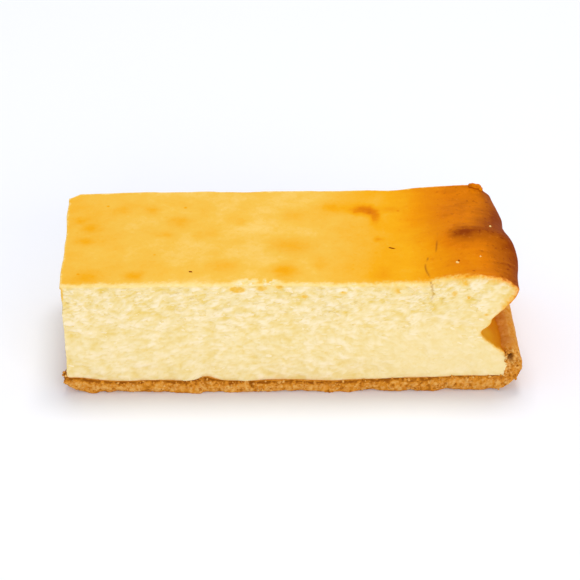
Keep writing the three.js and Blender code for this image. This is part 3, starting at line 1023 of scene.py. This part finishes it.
def curd_flake_shapes(count):
    """Flakes of curd on the three cuts, denser under the skin, with clumps on the edge and bits on the skin.

    The marks are those of the filling.
    """
    draw = np.random.default_rng(FLAKE_SEED)
    points, normals = surface_of(FILLING_PIECE)
    height = points[:, 2]
    along = points[:, 0]
    on_cut = (np.abs(normals[:, 2]) < 0.5) & (normals[:, 0] < 0.3) & (height > 6) & (along < 50)
    crumbly = smooth(10, 31, height) * (1 - 0.8 * smooth(5, 40, along) * (1 - smooth(24, 31, height)))
    beside_pinch = 0.5 * smooth(45, 47, along) * (height > 16) * (height < 27)
    clear = np.clip(1 - 2 * spots(along + END_SKEW * points[:, 1], height, YELLOW_PATCHES), 0, 1)
    below_edges = (height < 31.8) * smooth(-59.5, -57, along)
    weight = on_cut * (0.12 + crumbly + beside_pinch) * below_edges * clear
    picked = draw.choice(len(points), count, p=weight / weight.sum())
    length = draw.uniform(0.45, 1.2, count)
    thickness = draw.uniform(0.11, 0.24, count)
    sizes = np.stack([length, length * draw.uniform(0.3, 0.5, count), thickness], axis=1)
    spin = draw.normal(-0.12, 0.2, count)

    edge_x, edge_length, edge_height = np.array(EDGE_CLUMPS).T
    edge_y = np.full_like(edge_x, FRONT_Y + 0.5)
    edge_places = np.stack([edge_x, edge_y, np.full_like(edge_x, FILLING_TOP + 0.1)], axis=1)
    edge_points, edge_normals = on_surface(points, normals, edge_places, (0, -0.5, 1))
    edge_sizes = np.stack([edge_length, edge_height, edge_height], axis=1)

    bit_x, bit_y, bit_length, bit_width, bit_height, bit_bake = np.array(SKIN_BITS).T
    bit_z = np.full_like(bit_x, FILLING_TOP + 0.9)
    bit_places = np.stack([bit_x - END_SKEW * bit_y, bit_y, bit_z], axis=1)
    bit_points, bit_normals = on_surface(points, normals, bit_places, (0, 0, 1))
    bit_sizes = np.stack([bit_length, bit_width, bit_height], axis=1)

    sunk = points[picked] - normals[picked] * (0.6 * thickness)[:, None]
    edge_sunk = edge_points - edge_normals * (0.4 * edge_height)[:, None]
    centres = np.concatenate([sunk, edge_sunk, bit_points])
    out = np.concatenate([normals[picked], edge_normals, bit_normals])
    sizes = np.concatenate([sizes, edge_sizes, bit_sizes])
    spin = np.concatenate([spin, draw.normal(0, 0.3, len(edge_x)), draw.normal(-0.25, 0.1, len(bit_x))])
    bake = np.concatenate([np.zeros(count + len(edge_x)), bit_bake])
    around = 8
    shape, faces, per_lump = lumps(centres, sizes, lying_axes(out, spin), draw, around, up=5)
    baked = np.repeat(bake, per_lump)
    # Each lump is painted yellower down its four belts of points, as shade at its foot where it meets the
    # cut, and the last two points are its poles. A browned bit wears the skin's colour, with no depth under
    # the skin, and every other one the curd's.
    foot_shade = np.concatenate([np.repeat([0.0, 0.25, 0.5, 0.5], around), [0.0, 0.5]])
    marks = {
        "skin": np.where(baked > 0, 0.0, 3.0),
        "bake": baked,
        "tint": np.zeros(len(baked)),
        "hollow": np.repeat(draw.uniform(0.05, 0.5, len(bake)), per_lump) + np.tile(foot_shade, len(bake)),
        "torn": np.zeros(len(baked)),
        "split": np.zeros(len(baked)),
    }
    return shape, faces, marks


# Pale bits at the cut rim, and crumbs under the lower edge: x, z, radius, tone
RIM_BITS = [
    (56.0, 10.9, 0.4, 1.4),
    (55.6, 9.6, 0.35, 1.3),
    (56.9, 9.2, 0.45, 1.2),
    (57.9, 10.3, 0.4, 0.6),
    (30.6, 0.5, 0.55, 0.9),
    (31.8, 0.45, 0.5, 0.4),
    (32.8, 0.5, 0.45, -0.2),
    (-9.0, 0.6, 0.5, 1.0),
    (-8.0, 0.5, 0.45, 1.1),
]


def crust_crumb_shapes(count):
    """Crumbs on the crust's broken edges, each a rough ball 0.25 to 0.8 mm across.

    The marks are those of the base.
    """
    draw = np.random.default_rng(CRUMB_SEED)
    points, normals = surface_of(BASE_PIECE)
    on_cut = (normals[:, 0] < 0.5) & (np.abs(normals[:, 2]) < 0.75) & (points[:, 2] > 0.7)
    outer = (np.abs(points[:, 1]) > BACK_Y - 0.6) | (points[:, 0] < LEFT_CUT_X + 0.9)
    weight = (on_cut & outer).astype(float)
    picked = draw.choice(len(points), count, p=weight / weight.sum())
    radius = draw.uniform(0.2, 0.5, count) ** 1.3
    tone = draw.normal(0.15, 0.6, count)

    # Besides the listed bits, crumbs lie along the joint between the curd and the rim, at the front cut
    bit_x, bit_z, bit_radius, bit_tone = np.array(RIM_BITS).T
    seam_count = 16
    seam_foot_z = 5.2
    seam_z = np.linspace(seam_foot_z, 9.4, seam_count)
    seam_x = RIM_INNER_X + draw.normal(0.2, 0.25, seam_count) - 0.8 * hill(seam_z, seam_foot_z, 0.9)
    front_x = np.concatenate([bit_x, seam_x]) - END_SKEW * FRONT_Y
    front_y = np.full(len(front_x), FRONT_Y)
    bit_places = np.stack([front_x, front_y, np.concatenate([bit_z, seam_z])], axis=1)
    bit_radius = np.concatenate([bit_radius, draw.uniform(0.3, 0.5, seam_count)])
    bit_tone = np.concatenate([bit_tone, draw.normal(0, 0.5, seam_count)])
    bit_points, bit_normals = on_surface(points, normals, bit_places, (0, -1, 0))

    centres = np.concatenate([points[picked], bit_points])
    out = np.concatenate([normals[picked], bit_normals])
    radius = np.concatenate([radius, bit_radius])
    sizes = radius[:, None] * draw.uniform(0.75, 1.25, (len(radius), 3))
    centres[:, 2] = np.maximum(centres[:, 2], 1.3 * sizes.max(axis=1))
    spin = draw.uniform(0, np.pi, len(radius))
    shape, faces, per_lump = lumps(centres, sizes, lying_axes(out, spin), draw, around=7, up=5)
    total = len(shape)
    marks = {
        # Loose crumbs count as raised, so they get the painted highlight of the crumbs' tops
        "hollow": np.full(total, -0.25),
        "tone": np.repeat(0.22 * np.concatenate([tone, bit_tone]), per_lump),
        "broken": np.ones(total),
        "seat": np.zeros(total),
        "scorch": np.zeros(total),
    }
    return shape, faces, marks


# Settings that a user may change

class FillingSettings(bpy.types.PropertyGroup):
    """Sizes and colours of the baked filling."""

    cut_depth: length_property("Cut depth", 0.00042, "How deep the torn curd of the cut faces is")
    curd: colour_property("Curd", "#F0DCA5", "The set curd on a cut face, where the knife smoothed it")
    # Palest curd, on the raised smeared lumps: partly their own paleness, partly a painted highlight on the
    # ridges
    curd_smeared_highlight: colour_property("Smeared curd", "#F7E7C3", "The curd's lumps that the knife smeared")
    # Yellower curd for the marbling and the dragged skin bits, and painted shade down in the pits
    curd_yellow_and_pit_shade: colour_property("Curd hollows", "#E6C662", "The curd down in its pits")
    skin_thin: colour_property("Thin skin", "#F3D688", "The skin's torn, pale edge")
    skin_pale: colour_property("Pale skin", "#EAB948", "The skin where it baked least")
    skin_gold: colour_property("Golden skin", "#EAA512", "The skin's freckles")
    skin_orange: colour_property("Orange skin", "#E49002", "The skin where the shoulder begins")
    skin_amber: colour_property("Amber skin", "#D47600", "The skin on the puffed shoulder")
    skin_brown: colour_property("Brown skin", "#863700", "The skin where it caught")
    # The cracks' brown line: browned skin at their edges, and painted shade in the narrow gap, on the top and
    # down the front cut
    crack: colour_property("Crack", "#A25A10", "The browned walls of the cracks in the skin")


class BaseSettings(bpy.types.PropertyGroup):
    """Sizes and colours of the shortcrust base."""

    crumb_size: length_property("Crumb size", 0.0012, "Distance between the crumbs of the broken crust")
    crumb_depth: length_property("Crumb depth", 0.0003, "How far the crumbs stand out of a cut")
    crust: colour_property("Crust", "#D98C27", "The crust's crumbs on a cut")
    # Palest crust: crumbs rich in butter and flour, and the painted highlight on the crumbs' tops
    crust_light: colour_property("Light crumbs", "#EDB764", "The palest crumbs, rich in butter and flour")
    # Darkest crust: dark crumbs and the moist seat, and the painted shade in the hollows between the crumbs
    crust_dark: colour_property("Dark crumbs", "#9A550A", "The hollows between the crumbs")
    # Also painted into the hole at the rim, partly as the shade in its cavity
    scorched: colour_property("Scorched", "#5A2A08", "Burnt spots and the thin lip at the cut end")


class CrumbSettings(bpy.types.PropertyGroup):
    """How many loose bits cling to the slice."""

    crust_crumbs: IntProperty(
        name="Crust crumbs", description="Crumbs on the cut crust", default=900, min=0,
    )
    curd_flakes: IntProperty(
        name="Curd flakes", description="Flakes of curd on the cuts", default=1100, min=0,
    )


class StageSettings(bpy.types.PropertyGroup):
    """Floor, light and camera."""

    floor: colour_property("Floor", "#F1F3FB", "The plain pale floor")
    camera_distance: length_property("Camera distance", 0.5928, "From the middle of the bar to the camera")
    camera_height: FloatProperty(
        name="Camera height", description="Angle of the camera above the horizon",
        subtype="ANGLE", unit="ROTATION", default=math.radians(32.0),
    )
    camera_turn: FloatProperty(
        name="Camera turn", description="Angle of the camera round the bar, from straight in front",
        subtype="ANGLE", unit="ROTATION", default=math.radians(-0.6),
    )
    lens: FloatProperty(
        name="Lens", description="Focal length of the camera in millimetres", default=136.3, min=1,
    )


SETTINGS = {
    "cheesecake_filling": FillingSettings,
    "cheesecake_base": BaseSettings,
    "cheesecake_crumbs": CrumbSettings,
    "cheesecake_stage": StageSettings,
}


# What each thing is made of

def baked_curd_material(settings, name, see_through):
    """Baked cheesecake: a set mix of fresh cheese, egg and cream under its own oven skin.

    A cut shows moist, slightly see-through curd with soft gloss; its colour is painted paler on the smeared
    ridges as highlight and yellower in the pits as shade. The skin is the same curd dried to a thin satin
    film. It fades into the curd through pale yellow, and where the oven was hottest it is gold, amber and
    brown.
    """
    material, tree, place = new_material(name)
    skin, bake, hollow, split, tinted, torn = (
        add_node(tree, "ShaderNodeAttribute", {"attribute_name": mark}).outputs["Fac"]
        for mark in ("skin", "bake", "hollow", "split", "tint", "torn")
    )
    # Patterns, each by the size of its features in millimetres, its detail and its roughness
    edge_grain, blotches, flecks, curd_grain, skin_grain = (
        add_node(tree, "ShaderNodeTexNoise", inputs={
            "Vector": place, "Scale": per_mm(size), "Detail": detail, "Roughness": roughness,
        }).outputs["Fac"]
        for size, detail, roughness in (
            (0.9, 3.0, 0.6),
            (7.0, 6.0, 0.76),
            (1.1, 2.0, 0.5),
            (0.45, 4.0, 0.65),
            (1.0, 5.0, 0.55),
        )
    )

    # The skin's inner edge wanders with a grain of about 0.9 mm
    edge_shift = add_node(
        tree, "ShaderNodeMath", {"operation": "MULTIPLY_ADD"}, {0: edge_grain, 1: 0.9, 2: skin}
    ).outputs[0]
    on_skin = add_node(
        tree, "ShaderNodeMapRange", {"interpolation_type": "SMOOTHSTEP"},
        {"Value": edge_shift, "From Min": 0.5, "From Max": 1.8, "To Min": 1.0, "To Max": 0.0},
    ).outputs["Result"]

    # Uneven browning: blotches of about 7 mm, darker flecks of about 1 mm where the skin is brown, and a
    # caught speck of about a millimetre here and there
    from_speck = add_node(
        tree, "ShaderNodeTexVoronoi", {"feature": "F1"}, {"Vector": place, "Scale": per_mm(7.5)}
    ).outputs["Distance"]
    speck = add_node(
        tree, "ShaderNodeMapRange", {"interpolation_type": "SMOOTHSTEP"},
        {"Value": from_speck, "From Min": 0.02, "From Max": 0.09, "To Min": 0.2, "To Max": 0.0},
    ).outputs["Result"]
    fleck_share = add_node(
        tree, "ShaderNodeMapRange", inputs={"Value": flecks, "From Min": 0.6, "From Max": 0.8, "To Max": 0.2}
    ).outputs["Result"]
    # The blotches average a half, so half their strength is taken off again
    level = bake
    for pattern, strength in ((fleck_share, bake), (blotches, 0.22), (1.0, -0.11), (speck, 1.0)):
        level = add_node(
            tree, "ShaderNodeMath", {"operation": "MULTIPLY_ADD"}, {0: pattern, 1: strength, 2: level}
        ).outputs[0]
    # Towards its torn edge the skin is thin, so it shows less brown and lets the curd through
    thinned = add_node(tree, "ShaderNodeMath", {"operation": "POWER"}, {0: on_skin, 1: 3.0}).outputs[0]
    brown_kept = add_node(
        tree, "ShaderNodeMapRange", inputs={"Value": thinned, "To Min": 0.25, "To Max": 1.0}
    ).outputs["Result"]
    level = add_node(tree, "ShaderNodeMath", {"operation": "MULTIPLY"}, {0: level, 1: brown_kept}).outputs[0]
    skin_colour = add_node(
        tree, "ShaderNodeValToRGB", inputs={"Fac": level},
        stops=[
            (0.05, settings.skin_thin),
            (0.2, settings.skin_pale),
            (0.36, settings.skin_gold),
            (0.5, settings.skin_orange),
            (0.7, settings.skin_amber),
            (1.0, settings.skin_brown),
        ],
    ).outputs["Color"]

    # Curd: painted highlight makes its raised smeared lumps palest, painted shade makes the pits go yellow,
    # and a marbling of about 1.6 mm goes yellow too
    flat_flakes = add_node(
        tree, "ShaderNodeMapping",
        inputs={"Vector": place, "Rotation": (0.0, 0.15, 0.0), "Scale": (1.0, 1.0, 1.5)},
    ).outputs["Vector"]
    marble = add_node(
        tree, "ShaderNodeTexNoise",
        inputs={"Vector": flat_flakes, "Scale": per_mm(1.6), "Detail": 5.0, "Roughness": 0.65},
    ).outputs["Fac"]
    marbling = add_node(tree, "ShaderNodeMath", {"operation": "MULTIPLY"}, {0: torn, 1: 0.4}).outputs[0]
    tint = add_node(
        tree, "ShaderNodeMath", {"operation": "MULTIPLY_ADD"}, {0: marble, 1: marbling, 2: hollow}
    ).outputs[0]
    curd_colour = add_node(
        tree, "ShaderNodeValToRGB", inputs={"Fac": tint},
        stops=[(0.0, settings.curd_smeared_highlight), (0.35, settings.curd), (1.0, settings.curd_yellow_and_pit_shade)],
    ).outputs["Color"]
    covered = add_node(tree, "ShaderNodeMath", {"operation": "POWER"}, {0: on_skin, 1: 0.6}).outputs[0]
    skin_share = add_node(
        tree, "ShaderNodeMath", {"operation": "MAXIMUM"}, {0: covered, 1: tinted}
    ).outputs[0]
    colour = curd_colour
    for share, over in ((skin_share, skin_colour), (split, settings.crack)):
        colour = add_node(
            tree, "ShaderNodeMix", {"data_type": "RGBA"}, {0: share, 6: colour, 7: over}
        ).outputs[2]

    # Finest relief: curd grains of 0.45 mm on the cuts, faint wrinkles of 1 mm on the skin
    faint_skin = add_node(
        tree, "ShaderNodeMath", {"operation": "MULTIPLY"}, {0: skin_grain, 1: 0.35}
    ).outputs[0]
    height = add_node(
        tree, "ShaderNodeMix", {"data_type": "FLOAT"}, {0: on_skin, 2: curd_grain, 3: faint_skin}
    ).outputs[0]
    bump = add_node(
        tree, "ShaderNodeBump", inputs={"Height": height, "Strength": 0.5, "Distance": 0.3 * MM}
    ).outputs["Normal"]
    roughness = add_node(
        tree, "ShaderNodeMix", {"data_type": "FLOAT"}, {0: on_skin, 2: 0.62, 3: 0.55}
    ).outputs[0]
    shader = add_node(tree, "ShaderNodeBsdfPrincipled", inputs={
        "Base Color": colour,
        "Roughness": roughness,
        "Normal": bump,
        "IOR": 1.42,
        "Specular IOR Level": 0.03,
        "Subsurface Weight": see_through,
        "Subsurface Radius": (0.9, 0.72, 0.45),
        "Subsurface Scale": 0.9 * MM,
    })
    add_node(tree, "ShaderNodeOutputMaterial", inputs={"Surface": shader.outputs["BSDF"]})
    return material


def shortcrust_material(settings):
    """Shortcrust: flour and butter rubbed together, rolled thin and baked dry.

    It breaks into matt golden crumbs of about a millimetre, painted paler on their tops as highlight and
    browner in the hollows between them as shade, and is darker where the filling's moisture met it.
    """
    material, tree, place = new_material("baked_shortcrust")
    hollow, tone, broken, seat, scorch = (
        add_node(tree, "ShaderNodeAttribute", {"attribute_name": mark}).outputs["Fac"]
        for mark in ("hollow", "tone", "broken", "seat", "scorch")
    )
    # Speckles of 0.8 mm in the colour, and grit of 0.35 mm that the light catches
    speckle, grit = (
        add_node(tree, "ShaderNodeTexNoise", inputs={
            "Vector": place, "Scale": per_mm(size), "Detail": detail, "Roughness": roughness,
        }).outputs["Fac"]
        for size, detail, roughness in ((0.8, 5.0, 0.65), (0.35, 4.0, 0.7))
    )
    level = tone
    # Each crumb's own tone and speckle, then painted shade darker in the hollows and painted highlight paler
    # on the tops, and darker at the moist seat
    for pattern, strength in ((speckle, broken), (hollow, -0.42), (seat, -0.3)):
        level = add_node(
            tree, "ShaderNodeMath", {"operation": "MULTIPLY_ADD"}, {0: pattern, 1: strength, 2: level}
        ).outputs[0]
    colour = add_node(
        tree, "ShaderNodeValToRGB", inputs={"Fac": level},
        stops=[(0.18, settings.crust_dark), (0.5, settings.crust), (0.85, settings.crust_light)],
    ).outputs["Color"]
    colour = add_node(
        tree, "ShaderNodeMix", {"data_type": "RGBA"}, {0: scorch, 6: colour, 7: settings.scorched}
    ).outputs[2]
    roughened = add_node(tree, "ShaderNodeMath", {"operation": "MULTIPLY"}, {0: grit, 1: broken}).outputs[0]
    bump = add_node(
        tree, "ShaderNodeBump", inputs={"Height": roughened, "Strength": 0.7, "Distance": 0.4 * MM}
    ).outputs["Normal"]
    shader = add_node(tree, "ShaderNodeBsdfPrincipled", inputs={
        "Base Color": colour,
        "Roughness": 0.8,
        "Normal": bump,
        "IOR": 1.45,
        "Specular IOR Level": 0.08,
    })
    add_node(tree, "ShaderNodeOutputMaterial", inputs={"Surface": shader.outputs["BSDF"]})
    return material


def paper_material(settings):
    """Matt white backdrop paper: even, faintly fibrous, without gloss."""
    material, tree, place = new_material("matt_backdrop_paper")
    fibre = add_node(
        tree, "ShaderNodeTexNoise", inputs={"Vector": place, "Scale": per_mm(3.0), "Detail": 4.0}
    ).outputs["Fac"]
    bump = add_node(
        tree, "ShaderNodeBump", inputs={"Height": fibre, "Strength": 0.05, "Distance": 0.05 * MM}
    ).outputs["Normal"]
    shader = add_node(tree, "ShaderNodeBsdfPrincipled", inputs={
        "Base Color": settings.floor,
        "Roughness": 0.9,
        "Normal": bump,
    })
    add_node(tree, "ShaderNodeOutputMaterial", inputs={"Surface": shader.outputs["BSDF"]})
    return material


# Operators

FILLING_PIECE = "curd_and_skin"
BASE_PIECE = "shortcrust"


class CHEESECAKE_OT_add_filling(bpy.types.Operator):
    """Adds the filling: cut curd on three sides, golden skin on top and round the puffed shoulder"""

    bl_idname = "cheesecake.add_filling"
    bl_label = "Filling"

    def execute(self, context):
        settings = context.scene.cheesecake_filling
        points, faces, marks = filling_shape(settings.cut_depth / MM)
        material = baked_curd_material(settings, "baked_curd_with_skin", 0.06)
        make_piece(FILLING_PIECE, points, faces, material, marks, FILLING_NODE)
        return {"FINISHED"}


class CHEESECAKE_OT_add_base(bpy.types.Operator):
    """Adds the shortcrust base with its broken edges and its turned-up rim"""

    bl_idname = "cheesecake.add_base"
    bl_label = "Shortcrust base"

    def execute(self, context):
        settings = context.scene.cheesecake_base
        points, faces, marks = base_shape(settings.crumb_size / MM, settings.crumb_depth / MM)
        material = shortcrust_material(settings)
        make_piece(BASE_PIECE, points, faces, material, marks, BASE_NODE)
        return {"FINISHED"}


class CHEESECAKE_OT_add_crumbs(bpy.types.Operator):
    """Adds the crumbs on the crust, the flakes of curd on the cuts and the bits on the skin"""

    bl_idname = "cheesecake.add_crumbs"
    bl_label = "Crumbs and flakes"

    def execute(self, context):
        settings = context.scene.cheesecake_crumbs
        # A flake is too thin to let light wander through it
        curd = baked_curd_material(context.scene.cheesecake_filling, "crumbled_curd", 0.0)
        points, faces, marks = curd_flake_shapes(settings.curd_flakes)
        make_piece("curd_flakes", points, faces, curd, marks, faceted=True)
        crust = bpy.data.objects[BASE_PIECE].data.materials[0]
        points, faces, marks = crust_crumb_shapes(settings.crust_crumbs)
        make_piece("crust_crumbs", points, faces, crust, marks)
        return {"FINISHED"}


class CHEESECAKE_OT_add_stage(bpy.types.Operator):
    """Adds the pale floor, the soft studio light and the camera at the photograph's angle"""

    bl_idname = "cheesecake.add_stage"
    bl_label = "Floor, light and camera"

    def execute(self, context):
        settings = context.scene.cheesecake_stage
        add_floor(settings)
        add_world()
        add_soft_box("overhead_box", (0.05, 0.22, 1.0), (0.4, 0.32), 4.05)
        add_soft_box("front_box", (0.27, -0.99, 0.48), (1.2, 0.5), 5.1)
        add_camera(settings)
        return {"FINISHED"}


def add_floor(settings):
    """A flat sheet of backdrop paper, as wide as any view reaches."""
    reach = 3.0
    mesh = bpy.data.meshes.new("backdrop_paper")
    corners = [(-reach, -reach, 0), (reach, -reach, 0), (reach, reach, 0), (-reach, reach, 0)]
    mesh.from_pydata(corners, [], [(0, 1, 2, 3)])
    mesh.materials.append(paper_material(settings))
    floor = bpy.data.objects.new("backdrop_paper", mesh)
    bpy.context.scene.collection.objects.link(floor)


def add_world():
    """A plain white room, a little cooler than the lamps."""
    world = bpy.data.worlds.new("white_room")
    world.use_nodes = True
    background = world.node_tree.nodes["Background"]
    background.inputs["Color"].default_value = (0.97, 0.985, 1.0, 1.0)
    background.inputs["Strength"].default_value = 0.66
    bpy.context.scene.world = world


def add_soft_box(name, place, sides, watts):
    """A rectangular lamp at a place in metres, turned towards the bar."""
    lamp = bpy.data.lights.new(name, "AREA")
    lamp.shape = "RECTANGLE"
    lamp.size, lamp.size_y = sides
    lamp.energy = watts
    lamp.color = (1.0, 0.975, 0.95)
    box = bpy.data.objects.new(name, lamp)
    box.location = place
    box.rotation_euler = (-box.location).to_track_quat("-Z", "Y").to_euler()
    bpy.context.scene.collection.objects.link(box)


def add_camera(settings):
    """The camera of the photograph: a long lens, looking down at the front cut."""
    middle = Vector((-0.00019, 0.0, 0.01647))
    turn, height = settings.camera_turn, settings.camera_height
    back = Vector((math.sin(turn) * math.cos(height), -math.cos(turn) * math.cos(height), math.sin(height)))
    lens = bpy.data.cameras.new("camera")
    lens.lens = settings.lens
    lens.sensor_width = 36.0
    lens.clip_start = 0.02
    lens.clip_end = 20.0
    camera = bpy.data.objects.new("camera", lens)
    camera.location = middle + back * settings.camera_distance
    camera.rotation_euler = (-back).to_track_quat("-Z", "Y").to_euler()
    bpy.context.scene.collection.objects.link(camera)
    bpy.context.scene.camera = camera


OPERATORS = [
    CHEESECAKE_OT_add_filling,
    CHEESECAKE_OT_add_base,
    CHEESECAKE_OT_add_crumbs,
    CHEESECAKE_OT_add_stage,
]


class CHEESECAKE_PT_parts(bpy.types.Panel):
    """Lists the parts of the cheesecake bar and their settings"""

    bl_label = "Baked cheesecake bar"
    bl_space_type = "VIEW_3D"
    bl_region_type = "UI"
    bl_category = "Cheesecake"

    def draw(self, context):
        for operator in OPERATORS:
            self.layout.operator(operator.bl_idname)
        for name, group in SETTINGS.items():
            box = self.layout.box()
            box.label(text=group.__doc__)
            for key in group.__annotations__:
                box.prop(getattr(context.scene, name), key)


def register():
    """Registers the settings, the operators and the panel."""
    for name, group in SETTINGS.items():
        bpy.utils.register_class(group)
        setattr(bpy.types.Scene, name, PointerProperty(type=group))
    for cls in OPERATORS + [CHEESECAKE_PT_parts]:
        bpy.utils.register_class(cls)


def unregister():
    """Takes back what register did, in reverse order."""
    for cls in reversed(OPERATORS + [CHEESECAKE_PT_parts]):
        bpy.utils.unregister_class(cls)
    for name, group in reversed(SETTINGS.items()):
        delattr(bpy.types.Scene, name)
        bpy.utils.unregister_class(group)


def main():
    """Makes the whole slice on its floor."""
    register()
    bpy.context.scene.view_settings.view_transform = "Standard"
    bpy.ops.cheesecake.add_stage()
    bpy.ops.cheesecake.add_base()
    bpy.ops.cheesecake.add_filling()
    bpy.ops.cheesecake.add_crumbs()


if __name__ == "__main__":
    main()
